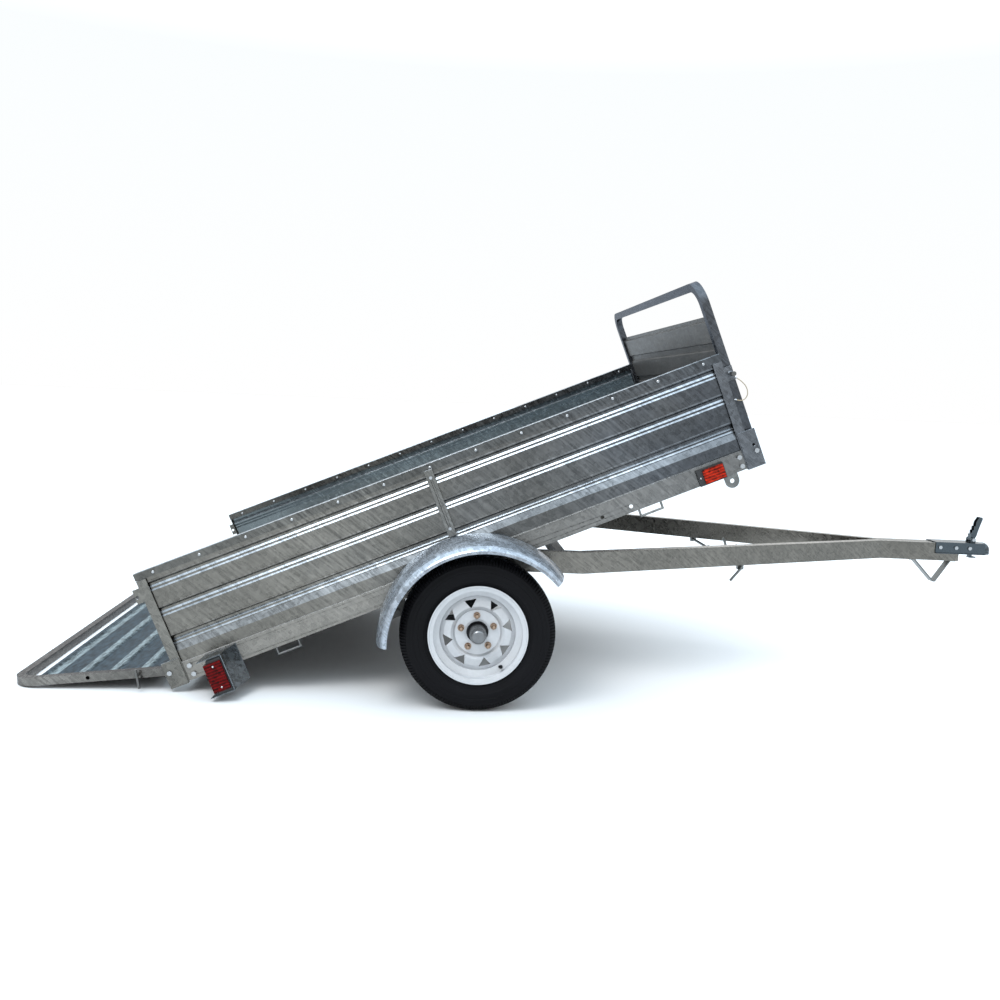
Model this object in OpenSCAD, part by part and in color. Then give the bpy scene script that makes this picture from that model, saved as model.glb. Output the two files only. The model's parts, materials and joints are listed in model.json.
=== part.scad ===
// Galvanized tilt-bed utility cart with a ramp gate, towed by a 50 degree A-frame tongue.
// Frame: +X forward to the coupler, +Y to the cart's left, +Z up, ground at z = 0.
// The bed's own frame has its origin at the axle centre and leans back with the tilted bed.

/* [Bed] */
// Width over the side rails
bed_w = 1540; // [1300:10:1700]
// Axle centre to the rear face of the bed
rear_l = 1010; // [900:10:1200]
// Axle centre to the front face of the bed
front_l = 1097; // [1000:1:1300]
// Underside of the side rails above the axle centre
rail_low = 172; // [160:1:200]
// Height of the side rail channel
rail_h = 68; // [60:1:70]
// Top of the side panels' cap rail above the axle centre
panel_top = 578; // [560:1:640]
// Angle of the tilted bed to the ground
tilt = 22.8; // [20:0.1:24]

/* [Wheels] */
// Outside diameter of the tyre
tyre_od = 521; // [500:1:530]
// Section width of the tyre
tyre_w = 120; // [110:1:126]
// Cart centre line to the middle of the tyre
wheel_y = 870; // [868:1:880]
// Pitch circle diameter of the five lug nuts
lug_pcd = 114.3; // [110:0.1:120]

/* [Tongue] */
// Height of the tongue tube
tongue_h = 77; // [70:1:80]
// Width of the tongue tube
tongue_w = 38; // [34:1:40]
// Distance from the tilt pivot forward to the first bend
bend_1 = 218; // [200:1:260]
// Angle between one tongue tube and the centre line
tongue_a = 24.7; // [23:0.1:26]
// Distance from the tilt pivot forward to the tubes' front ends
tongue_l = 1960; // [1900:10:2000]
// Angle the tongue opens below the bed when the bed is tipped
tongue_open = 23.45; // [20:0.05:24]
// Diameter of the coupler's ball
ball_d = 50.8; // [47.6:0.1:50.8]

/* [Gates] */
// Hinge line above the axle centre
gate_w = 222; // [215:1:235]
// Hinge line to the top of the front gate
front_gate_h = 612; // [560:1:660]
// Hinge line to the top of the rear ramp gate
rear_gate_h = 540; // [500:1:580]
// Depth of the gate tube
gate_t = 28; // [26:1:30]

/* [Hidden] */
$fn = 48;
sheet = 2;
plate = 3;
axle_z = tyre_od / 2;
half_w = bed_w / 2;
rail_top = rail_low + rail_h;
// The cap rail stands this far outside the side rails
cap_out = 3;
cap_h = 26;
cap_d = 34;
floor_w = rail_top;
post_low = rail_low - 4;
post_b = 30;
post_t = 3;
rail_flange = 40;
// The rear end member carries the ramp's hinges and is thicker
end_t = 5;

// Gates: hinge lines, and the ramp's angle, which lays its top bar on the ground
gate_hw = 760;
gate_band = 30;
gate_r = 85;
gate_tail = 42;
gate_gap = 16;
hinge_r = 6.5;
front_gate_u = front_l + gate_gap;
rear_gate_u = -rear_l - gate_gap;
// Latch pins of the front gate, and the pins parked in the ramp's legs
latch_w = 500;
latch_r = 5.5;
latch_guide = 10;
park_z = 108;
park_r = 5;
park_out = 23;
rear_hinge_z = axle_z + rear_gate_u * sin(tilt) + gate_w * cos(tilt);
ramp_slope = asin(rear_hinge_z / norm([rear_gate_h, gate_t / 2])) - atan(gate_t / 2 / rear_gate_h);
ramp_open = 90 - tilt + ramp_slope;

// Tilt pivot: the level bed rests on the tongue's top face
tongue_y = 681;
apex_y = 40;
pivot_w = rail_low - 1 - tongue_h / 2;
pivot_u = 228;
pivot_y = tongue_y - tongue_w / 2;
pin_r = 8;
cheek_t = 5;
cheek_out = tongue_w / 2 + 6 + cheek_t;
bend_2 = bend_1 + (tongue_y - apex_y) / tan(tongue_a);
tube_wall = 1.6;

// Crossmembers under the floor, bolts, and the gap left between touching parts
cross_h = 36;
cross_w = rail_top - cross_h;
bolt_r = 5;
fit = 0.2;
rail_bolts = [[1050, 219], [1050, 187], [-956, 222], [-953, 190]];

// Coupler, in the tongue's frame
cp_rear = 1852;
cp_x = 2080;
cp_top = tongue_h / 2 + 4;
cp_h = 49;
cp_hw = 44;
// Lip folded out along the bottom of each side
cp_lip = 6;
ball_x = cp_x;
ball_z = 10;
socket_r = ball_d / 2 + 0.6;
lever_x = 2030;
lever_z = cp_top + 12;
lever_pin_r = 4;
ear_y = 22;
coupler_bolts_x = [cp_rear + 19, cp_rear + 90, cp_rear + 151];
coupler_bolt_z = 20;

// Lock bar under the tongue, in the tongue's frame
lock_x = 894;
lock_y = tongue_y - (lock_x - bend_1) * tan(tongue_a) - tongue_w / 2 / cos(tongue_a);
lock_z = -tongue_h / 2 - 8;
lock_r = 6;

// Whole cart: the origin is under the middle of its length
nose_x = ball_x + 34;
pivot_z = axle_z + pivot_u * sin(tilt) + pivot_w * cos(tilt);
front_x = pivot_u * cos(tilt) - pivot_w * sin(tilt) + nose_x * cos(tongue_open - tilt);
back_x = rear_gate_u * cos(tilt) - gate_w * sin(tilt) - rear_gate_h * cos(ramp_slope)
    - gate_t / 2 * sin(ramp_slope);
x_mid = (front_x + back_x) / 2;

// Fender ring, in the bed's frame
fender_c = [4, -38];
fender_r = 353;
fender_lip_r = 319;
fender_y = [half_w + 2, 980];
fender_from = 20;
fender_arc = 138;

// Leaf spring
spring_y = half_w - 24;
spring_b = 38;
leaf_t = 6;
leaves = 4;
eye_u = 235;
eye_w = 138;
eye_r = 14;
axle_b = 40;

// Lanyard of the front latch pin, in the bed's frame
cable_r = 1.5;
cable_sides = 8;
cable_path = [
    [1113, -808, 489], [1116, -808, 485], [1121, -808, 479], [1127, -808, 471], [1132, -808, 462],
    [1137, -807, 451], [1140, -805, 439], [1140, -803, 428], [1138, -800, 418], [1133, -796, 410],
    [1127, -792, 405], [1120, -788, 403], [1113, -785, 404], [1107, -782, 407], [1101, -779, 411],
    [1096, -776.5, 414]
];

// ---------- frames ----------

module in_bed() translate([-x_mid, 0, axle_z]) rotate([0, -tilt, 0]) children();

module in_tongue() in_bed() translate([pivot_u, 0, pivot_w]) rotate([0, tongue_open, 0]) children();

module in_front_gate() in_bed() translate([front_gate_u, 0, gate_w]) children();

module in_rear_gate() in_bed() translate([rear_gate_u, 0, gate_w]) rotate([0, -ramp_open, 0]) children();

// The right-hand wheel's frame: +Y points to the cart's middle
module in_wheel() translate([-x_mid, -wheel_y, axle_z]) children();

module both_sides() {
    children();
    mirror([0, 1, 0]) children();
}

// ---------- shared shapes ----------

module galv(shade = 0) color([0.68 - shade, 0.70 - shade, 0.72 - shade]) children();

// A rod along +Y from the origin
module rod_y(r, l) rotate([-90, 0, 0]) cylinder(r = r, h = l);

// A rod between two points
module rod(a, b, r) {
    d = b - a;
    translate(a) rotate([0, acos(d.z / norm(d)), atan2(d.y, d.x)]) cylinder(r = r, h = norm(d));
}

// A round bar along a path, with a ball at each bend
module bent_rod(path, r) {
    for (i = [1:len(path) - 1]) rod(path[i - 1], path[i], r);
    for (i = [1:len(path) - 2]) translate(path[i]) sphere(r);
}

// A sheet's cross-section: the path is its outer face, and t its thickness inward along x
module sheet_profile(path, t = sheet)
    polygon(concat(path, [for (i = [len(path) - 1:-1:0]) path[i] + [t, 0]]));

// Extrusions of a profile drawn in (y, z), along +X, and of one drawn in (x, z), along Y
module along_x(l) rotate([90, 0, 90]) linear_extrude(l) children();

module along_y(l) rotate([90, 0, 0]) linear_extrude(l, center = true) children();

// A bolt head on a face that looks along -Y, with the shank inward
module bolt_head(r = 9, h = 7, shank_r = 5, shank = 14) {
    rotate([90, 0, 0]) cylinder(r = r, h = h, $fn = 6);
    rod_y(shank_r, shank);
}

// A groove pressed inward into a panel: a double step from height w up, and a lip over it
function groove(w, d0 = 0) = [
    [d0, w], [d0 + 3, w + 6], [d0 + 3, w + 12], [d0 + 7, w + 19], [d0 + 7, w + 26], [-1.5, w + 32], [0, w + 38]
];

// ---------- bed ----------

module side_rails() galv(0.06) in_bed() both_sides() difference() {
    translate([-rear_l + 2, -half_w, rail_low]) cube([rear_l + front_l - 4, rail_flange, rail_h]);
    translate([-rear_l, -half_w + plate, rail_low + plate])
        cube([rear_l + front_l, rail_flange, rail_h - 2 * plate]);
    for (u = [536, 642]) translate([u, -half_w - 5, 193]) rod_y(6.5, 20);
    for (p = rail_bolts) translate([p.x, -half_w - 5, p.y]) rod_y(bolt_r + 0.1, 20);
}

module end_crossmembers() galv(0.08) in_bed() for (u = [-rear_l + 4, front_l - 4 - rail_flange]) {
    t = u > 0 ? plate : end_t;
    translate([u, -half_w + rail_flange + 0.5, rail_low]) difference() {
        cube([rail_flange, bed_w - 2 * rail_flange - 1, rail_h]);
        translate([u > 0 ? -t : t, -1, t]) cube([rail_flange, bed_w, rail_h - 2 * t]);
    }
}

module crossmembers() galv(0.08) in_bed() for (u = [-690, -330, 60, pivot_u - 18, 420, 780])
    translate([u, -half_w + plate + 0.5, cross_w]) difference() {
        cube([36, bed_w - 2 * plate - 1, 32.5]);
        translate([plate, -1, -plate]) cube([36, bed_w, 32.5]);
    }

// Flat floor with shallow ribs along the bed
floor_half = half_w - 26;
floor_ribs = 9;
floor_pitch = 2 * floor_half / floor_ribs;

module floor_sheet() galv(0.04) in_bed() translate([-rear_l + 4, 0, floor_w + 0.3])
    along_x(rear_l + front_l - 10) polygon(concat(
        [[-floor_half, 0]],
        [for (i = [0:floor_ribs - 1]) each
            [for (p = [[-22, 0], [-14, 7], [14, 7], [22, 0]])
                [-floor_half + (i + 0.5) * floor_pitch + p.x, p.y]]],
        [[floor_half, 0], [floor_half, sheet]],
        [for (i = [floor_ribs - 1:-1:0]) each
            [for (p = [[22, 0], [14, 7], [-14, 7], [-22, 0]])
                [-floor_half + (i + 0.5) * floor_pitch + p.x, p.y + sheet]]],
        [[-floor_half, sheet]]
    ));

// Three flat bands between pressed grooves, over a band that leans out to the rail
panel_path = concat([[0, rail_top + 2], [0, 281], [8, 304]], groove(306, 8), groove(409), groove(503),
    [[0, panel_top - 8]]);

module panel() in_bed() translate([-rear_l + 6, -half_w + 5, 0])
    along_x(rear_l + front_l - 12) sheet_profile(panel_path);

module panel_right() galv(0.02) panel();

module panel_left() galv(0.02) mirror([0, 1, 0]) panel();

// A folded channel over the panel's top edge
module cap_rails() galv() in_bed() both_sides()
    translate([-rear_l - 1, -half_w - cap_out, panel_top - cap_h]) difference() {
        cube([rear_l + front_l + 2, cap_d, cap_h]);
        translate([-1, sheet, -sheet]) cube([rear_l + front_l + 20, cap_d - 2 * sheet, cap_h]);
    }

// Angle posts with a latch plate that reaches past the end of the bed
module corner_posts() galv(0.04) in_bed() both_sides() for (front = [0, 1])
    translate([front ? front_l : -rear_l, -half_w - post_t, 0]) {
        translate([front ? -post_b - 3 : 0, 0, post_low])
            cube([post_b + 3, post_t, panel_top - cap_h - post_low - 1]);
        translate([front ? -post_t : 0, 0, rail_top + 1])
            cube([post_t, post_b, panel_top - cap_h - rail_top - 2]);
        difference() {
            union() {
                translate([front ? -2 : -24, 0, latch_w - 22]) cube([front ? 30 : 26, post_t, 50]);
                if (front) translate([gate_gap, -latch_guide, latch_w]) rod_y(9, latch_guide + 1);
            }
            translate([front ? gate_gap : -gate_gap, -latch_guide - 1, latch_w])
                rod_y(latch_r + 0.1, latch_guide + 8);
        }
    }

// Top-hat stakes bolted to the middle of each panel, above the fender
stake = [29, 9, 240];
stake_low = 318;
stake_u = 35;
stake_y = -half_w - cap_out - stake.y - fit;
stake_bolts = [345, 530];
stake_bolt_r = 3;

module stake_posts() galv(0.05) in_bed() both_sides() translate([stake_u, stake_y, 0]) difference() {
    translate([-stake.x / 2, 0, stake_low]) cube(stake);
    translate([-stake.x / 2 + sheet, sheet, stake_low - 1]) cube([stake.x - 2 * sheet, stake.y, stake.z + 2]);
    for (w = stake_bolts) translate([0, -1, w]) rod_y(stake_bolt_r + 0.1, 4);
}

// Plates that carry the gates' hinge bolts outside the posts
module gate_hinge_plates() galv(0.05) in_bed() both_sides() for (front = [0, 1]) {
    u = front ? front_gate_u : rear_gate_u;
    top = front ? 300 : 262;
    in_u = front ? -46 : -17;
    translate([0, -half_w - post_t - plate - fit, 0]) difference() {
        translate([u + in_u, 0, post_low - 1]) cube([63, plate, top - post_low]);
        translate([u, -1, gate_w]) rod_y(hinge_r + 0.1, 6);
        if (front) translate([u - 3, -1, 244]) rod_y(5, 6);
    }
}

// Hexagon bolts of the frame: posts to rails, tail brackets, stakes
module frame_bolts() color([0.78, 0.79, 0.80]) in_bed() both_sides() {
    for (p = rail_bolts) translate([p.x, -half_w, p.y]) bolt_head();
    for (w = stake_bolts) translate([stake_u, stake_y, w])
        bolt_head(r = 6, h = 4, shank_r = stake_bolt_r, shank = 16.5);
}

// ---------- fenders ----------

fender_steps = 10;

// Outer face of the fender from the bed side, over the crown, to the rolled lip: [radius, y]
fender_path = concat(
    [[fender_r - 30, fender_y[0]], [fender_r - 3, fender_y[0]], [fender_r, fender_y[0] + 6]],
    [for (i = [0:fender_steps]) let (a = 90 * i / fender_steps)
        [fender_lip_r + (fender_r - fender_lip_r) * cos(a), 880 + (fender_y[1] - 880) * sin(a)]],
    [[fender_lip_r - 4, fender_y[1] - 2], [fender_lip_r - 3, fender_y[1] - 7]]
);

// The same face moved in by the sheet's thickness, first point last
fender_inner = [for (i = [len(fender_path) - 1:-1:0]) let (
    a = fender_path[max(i - 1, 0)], b = fender_path[min(i + 1, len(fender_path) - 1)],
    t = (b - a) / norm(b - a)) fender_path[i] + 1.6 * [-t.y, t.x]];

module fender() in_bed() translate([fender_c.x, 0, fender_c.y]) rotate([90, 0, 0])
    rotate([0, 0, fender_from]) rotate_extrude(angle = fender_arc, $fn = 96)
        polygon(concat(fender_path, fender_inner));

module fender_right() galv() fender();

module fender_left() galv() mirror([0, 1, 0]) fender();

// ---------- running gear ----------

module axle_beam() galv(0.1) translate([-x_mid, 0, axle_z]) {
    rotate([0, -tilt, 0]) difference() {
        translate([-axle_b / 2, -half_w + 4, -axle_b / 2]) cube([axle_b, bed_w - 8, axle_b]);
        translate([-axle_b / 2 + 4, -half_w + 30, -axle_b / 2 + 4])
            cube([axle_b - 8, bed_w - 60, axle_b - 8]);
    }
    both_sides() translate([0, -wheel_y - 26, 0]) rod_y(12.5, wheel_y + 26 - half_w + 5);
}

// Leaves stacked on the axle, and the eye that closes each end of the top one
module springs() color([0.42, 0.43, 0.45]) in_bed() both_sides()
    translate([0, -spring_y, 0]) {
        pitch = leaf_t + fit;
        pack_top = axle_b / 2 + fit + leaves * pitch;
        arc_h = eye_w + eye_r - leaf_t - pack_top;
        arc_r = (eye_u * eye_u + arc_h * arc_h) / (2 * arc_h);
        half_a = asin(eye_u / arc_r);
        for (leaf = [0:leaves - 1]) {
            a = half_a * (1 - 0.22 * leaf) - (leaf == 0 ? 3.6 : 0);
            translate([0, spring_b / 2, pack_top + arc_r]) rotate([90, 0, 0]) rotate([0, 0, -90 - a])
                rotate_extrude(angle = 2 * a, $fn = 180) translate([arc_r + pitch * leaf, 0])
                    square([leaf_t, spring_b]);
        }
        for (s = [-1, 1]) translate([s * eye_u, -spring_b / 2, eye_w]) difference() {
            rod_y(eye_r, spring_b);
            translate([0, -1, 0]) rod_y(6.2, spring_b + 2);
        }
    }

// A hanger at each end of each spring: two cheeks under a top plate, and the eye's bolt
hanger = [68, spring_b + 8, 50];

module spring_hangers() galv(0.08) in_bed() both_sides() for (s = [-1, 1])
    translate([s * eye_u, -spring_y, 0]) {
        translate([-hanger.x / 2, -hanger.y / 2, rail_low - fit - hanger.z]) difference() {
            cube(hanger);
            translate([-1, plate, -plate]) cube([hanger.x + 2, hanger.y - 2 * plate, hanger.z]);
        }
        translate([0, -hanger.y / 2 - 6, eye_w]) rod_y(6, hanger.y + 12);
        for (t = [-1, 1]) translate([0, t * (hanger.y / 2 + 3.2) + 3.5, eye_w])
            rotate([90, 0, 0]) cylinder(r = 10, h = 7, $fn = 6);
    }

// Two U-bolts and a plate clamp each spring to the axle
u_bar = [30, spring_b / 2 + 5.5, 53];

module u_bolts() galv(0.02) in_bed() both_sides() translate([0, -spring_y, 0]) {
    translate([-48, -32, -axle_b / 2 - 6 - fit]) cube([96, 64, 6]);
    for (s = [-1, 1]) {
        bent_rod([for (p = [[-1, -42], [-1, u_bar.z], [1, u_bar.z], [1, -42]])
            [s * u_bar.x, p.x * u_bar.y, p.y]], bolt_r);
        for (t = [-1, 1]) translate([s * u_bar.x, t * u_bar.y, -axle_b / 2 - 15])
            cylinder(r = 9, h = 10, $fn = 6);
    }
}

// Wheel: everything here turns. Axial positions run from the wheel's middle, outward along -Y.
rim_r = 152.4;
rim_half = 51;
flange_r = 166;
tyre_r = tyre_od / 2;

// Tyre section: [radius, axial], crown flat, rounded shoulders and full sidewalls
tyre_half = [
    [tyre_r, 0], [tyre_r - 0.6, 24], [tyre_r - 3.5, 38], [tyre_r - 10, 48], [tyre_r - 22, 54.5],
    [tyre_r - 42, tyre_w / 2], [tyre_r - 62, tyre_w / 2 - 1], [tyre_r - 80, tyre_w / 2 - 6],
    [flange_r + 2, rim_half - 2.5], [rim_r + 2.4, rim_half - 3.5], [rim_r + 1, rim_half - 16],
    [rim_r + 14, rim_half - 20], [tyre_r - 80, tyre_w / 2 - 17], [tyre_r - 42, tyre_w / 2 - 12],
    [tyre_r - 22, 42], [tyre_r - 14, 26], [tyre_r - 12, 0]
];

module tyre() color([0.09, 0.09, 0.10]) rotate([90, 0, 0]) rotate_extrude($fn = 96)
    polygon(concat(tyre_half, [for (i = [len(tyre_half) - 2:-1:1]) [tyre_half[i].x, -tyre_half[i].y]]));

// Rim barrel with a drop centre and turned flanges
rim_half_path = [
    [rim_r, 0], [rim_r - 22, 0], [rim_r - 22, 16], [rim_r, 24], [rim_r, rim_half - 3],
    [flange_r - 3, rim_half - 1], [flange_r, rim_half + 2], [flange_r, rim_half + 6],
    [flange_r - 4, rim_half + 6], [flange_r - 5, rim_half + 3], [rim_r - 4, rim_half],
    [rim_r - 3.4, 26], [rim_r - 25, 19], [rim_r - 25, 0]
];
rim_ring = [for (i = [1:len(rim_half_path) - 1]) rim_half_path[i]];
vents = 8;
bore_r = 37;
lug_a = 94;

// The disc's section: flat nave, a raised shoulder and a cone out to the barrel
disc_path = [
    [bore_r, 0], [bore_r, 5], [44, 6.5], [76, 6.5], [82, 15], [90, 20], [112, 16], [127.4, 9],
    [127.4, 5], [112, 11.5], [92, 15.5], [85, 11], [79, 0]
];

valve_a = -54;
valve_r = 6;

// Frame of the valve, along its stem, in the slope of the barrel's drop centre
module valve_seat() rotate([0, 0, valve_a]) translate([140, 0, 21]) rotate([0, -20, 0]) children();

module rim() color([0.86, 0.87, 0.88]) rotate([90, 0, 0]) {
    difference() {
        rotate_extrude($fn = 96) polygon(
            concat(rim_ring, [for (i = [len(rim_ring) - 2:-1:1]) [rim_ring[i].x, -rim_ring[i].y]]));
        valve_seat() translate([0, 0, -14]) cylinder(r = valve_r + fit, h = 28);
    }
    difference() {
        rotate_extrude($fn = 96) polygon(disc_path);
        for (i = [0:vents - 1]) rotate([0, 0, 360 / vents * (i + 0.32)]) translate([97, 0, -2])
            linear_extrude(40) polygon([[-12, 3], [17, -22], [18, 21]]);
        for (i = [0:4]) rotate([0, 0, lug_a + 72 * i]) translate([lug_pcd / 2, 0, -2]) cylinder(r = 7.2, h = 20);
    }
}

// Hub with its wheel flange, studs and pressed dust cap
module hub() color([0.60, 0.61, 0.62]) rotate([90, 0, 0]) difference() {
    union() {
        translate([0, 0, -9]) cylinder(r = 68, h = 8.5);
        translate([0, 0, -46]) cylinder(r = 36, h = 45);
        translate([0, 0, -5]) cylinder(r = 28, h = 62);
        translate([0, 0, 56]) cylinder(r = 26, h = 5);
        rotate_extrude($fn = 96) polygon([[0, 60], [24, 60], [24, 74], [22, 80], [18, 83], [0, 84]]);
        for (i = [0:4]) rotate([0, 0, lug_a + 72 * i]) translate([lug_pcd / 2, 0, -6]) cylinder(r = 6, h = 12.4);
    }
    translate([0, 0, -50]) cylinder(r = 12.55, h = 78);
}

module lug_nuts() color([0.52, 0.40, 0.33]) rotate([90, 0, 0])
    for (i = [0:4]) rotate([0, 0, lug_a + 72 * i]) translate([lug_pcd / 2, 0, 6.8]) {
        cylinder(r = 10.5, h = 12, $fn = 6);
        translate([0, 0, 11.5]) cylinder(r1 = 8.5, r2 = 5, h = 7);
        translate([0, 0, -0.1]) cylinder(r = 11.5, h = 2.2);
    }

module valve() color([0.13, 0.13, 0.13]) rotate([90, 0, 0]) valve_seat() {
    translate([0, 0, -6]) cylinder(r = valve_r, h = 12);
    translate([0, 0, 5]) cylinder(r = 4, h = 20);
    translate([0, 0, 24]) cylinder(r = 5, h = 9);
}

module right_wheel() in_wheel() children();

module left_wheel() mirror([0, 1, 0]) in_wheel() children();

// ---------- hardware on the bed ----------

// Cheeks under a crossmember that take the tongue's pivot pins
module tilt_brackets() galv(0.08) in_bed() both_sides() difference() {
    for (y = [-cheek_out, cheek_out - cheek_t]) translate([pivot_u - 45, y - pivot_y, pivot_w - 26])
        cube([90, cheek_t, cross_w - fit - pivot_w + 26]);
    translate([pivot_u, -pivot_y - 50, pivot_w]) rod_y(pin_r + 0.1, 100);
}

// Bar under the front crossmember that the lock hook holds
keeper_u = front_l - 9;
keeper_w = rail_low - 32;

module lock_keeper() galv(0.06) in_bed() {
    translate([keeper_u, -150, keeper_w]) rod_y(6, 300);
    for (y = [-146, 140]) translate([keeper_u - 12, y, keeper_w - 10]) cube([24, 6, 42 - fit]);
}

// Round lugs under the front of each side rail
lug_w = 150;
lug_r = 25;

module lift_lugs() galv(0.06) in_bed() both_sides() translate([1003, -half_w + 4, lug_w]) difference() {
    union() {
        intersection() {
            rod_y(lug_r, 6);
            translate([-lug_r, 0, -lug_r]) cube([2 * lug_r, 6, lug_r + rail_low - fit - lug_w]);
        }
        translate([-lug_r, 0, 0]) cube([2 * lug_r, 6, rail_low - fit - lug_w]);
    }
    translate([0, -1, 0]) rod_y(8, 10);
}

// U-shaped rope hooks under the side rails
module tie_hooks() galv() in_bed() both_sides() for (u = [-627, 706])
    translate([u, -half_w + 15, 0])
        bent_rod([for (p = [[-40, rail_low - fit], [-40, 146], [40, 146], [40, rail_low - fit]])
            [p.x, 0, p.y]], 4);

// Hooded bracket outside the rail: roof, floor, and a front wall with a square fold
tail_front = -816;
tail_foot = -784;
tail_fold = 28;
tail_y = -half_w - 102;
tail_w = 108;
tail_h = 128;
rail_y = -half_w - 0.5;

module tail_brackets() galv() in_bed() both_sides() {
    for (w = [0, tail_h]) translate([0, 0, tail_w + w]) linear_extrude(sheet) polygon([
        [-894, rail_y], [tail_foot, rail_y], [tail_front, tail_y + tail_fold], [tail_front, tail_y],
        [-902, tail_y]
    ]);
    translate([0, 0, tail_w]) linear_extrude(tail_h + sheet) polygon([
        [tail_foot, rail_y], [tail_front, tail_y + tail_fold], [tail_front, tail_y],
        [tail_front - plate, tail_y], [tail_front - plate, tail_y + tail_fold],
        [tail_foot - plate, rail_y]
    ]);
    translate([tail_foot - 22, rail_y - sheet, tail_w + 16]) cube([22, sheet, 112]);
}

// Lamp body, and a lens that wraps its outer and its rear face
lamp = [50, 88, 122];
lamp_u = -872;
lens_low = 122;
lens_h = 100;
lens_t = 10;
lens_l = 58;

module tail_housings() color([0.07, 0.07, 0.08]) in_bed() both_sides()
    translate([lamp_u, tail_y + 2, tail_w + sheet + fit]) cube(lamp);

module tail_lenses() color([0.55, 0.04, 0.04]) in_bed() both_sides()
    translate([lamp_u - lens_t - fit, tail_y + 2 - lens_t - fit, lens_low]) {
        cube([lens_l, lens_t, lens_h]);
        cube([lens_t, lamp.y, lens_h]);
    }

module marker_housings() color([0.06, 0.06, 0.07]) in_bed() both_sides()
    translate([890, -half_w - 10.2, 171]) cube([98, 10, 57]);

module marker_lenses() color([0.80, 0.16, 0.06]) in_bed() both_sides()
    translate([910, -half_w - 18.2, 175]) cube([74, 7.9, 49]);

// Tube swept along a path with flat rings, closed at both ends
module cable(path, r, sides) {
    n = len(path);
    function tangent(i) = let (d = path[min(i + 1, n - 1)] - path[max(i - 1, 0)]) d / norm(d);
    points = [for (i = [0:n - 1]) let (t = tangent(i), a = cross(t, [0, 1, 0]), b = cross(t, a))
        for (k = [0:sides - 1]) path[i] + r * (cos(360 * k / sides) * a / norm(a)
            + sin(360 * k / sides) * b / norm(b))];
    walls = [for (i = [0:n - 2]) for (k = [0:sides - 1]) let (j = (k + 1) % sides)
        each [[i * sides + k, (i + 1) * sides + j, i * sides + j],
              [i * sides + k, (i + 1) * sides + k, (i + 1) * sides + j]]];
    start = [for (k = [1:sides - 2]) [0, k, k + 1]];
    end = [for (k = [1:sides - 2]) [(n - 1) * sides, (n - 1) * sides + k + 1, (n - 1) * sides + k]];
    polyhedron(points, concat(walls, start, end));
}

module pin_lanyard() color([0.55, 0.48, 0.36]) in_bed() cable(cable_path, cable_r, cable_sides);

// ---------- tongue ----------

// Plan of one tongue tube, moved in from its outer face by d
function tongue_plan(d, ends) = let (s = d * tan(tongue_a / 2)) [
    [-60 - ends, -tongue_y + d], [bend_1 - s, -tongue_y + d],
    [bend_2 - s, -apex_y + d], [tongue_l + ends, -apex_y + d]
];

module tube_plan(wall, ends) polygon(concat(tongue_plan(wall, ends),
    [for (i = [3:-1:0]) tongue_plan(tongue_w - wall, ends)[i]]));

module tongue_tubes() galv(0.05) in_tongue() both_sides() difference() {
    translate([0, 0, -tongue_h / 2]) linear_extrude(tongue_h) tube_plan(0, 0);
    translate([0, 0, -tongue_h / 2 + tube_wall]) linear_extrude(tongue_h - 2 * tube_wall)
        tube_plan(tube_wall, 5);
    translate([0, -tongue_y - 5, 0]) rod_y(pin_r + 0.05, tongue_w + 10);
    for (x = coupler_bolts_x) translate([x, -apex_y - 5, coupler_bolt_z]) rod_y(bolt_r + 0.1, 2 * apex_y);
}

bar_y = tongue_y - tongue_w - fit;
bar_b = 38;

module tongue_crossbar() galv(0.06) in_tongue() translate([150, -bar_y, -tongue_h / 2]) difference() {
    cube([bar_b, 2 * bar_y, bar_b]);
    translate([sheet, -1, sheet]) cube([bar_b - 2 * sheet, 2 * bar_y + 2, bar_b - 2 * sheet]);
}

// Pins held in the bed's cheeks; the tongue turns on them
module tilt_pivot_pins() galv(0.02) in_bed() both_sides() translate([pivot_u, -pivot_y, pivot_w]) {
    translate([0, -cheek_out - 8, 0]) rod_y(pin_r, 2 * cheek_out + 16);
    for (s = [-1, 1]) translate([0, s * (cheek_out + 4.5 + fit) - 4.5, 0]) rod_y(13, 9);
}

// ---------- coupler ----------

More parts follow.
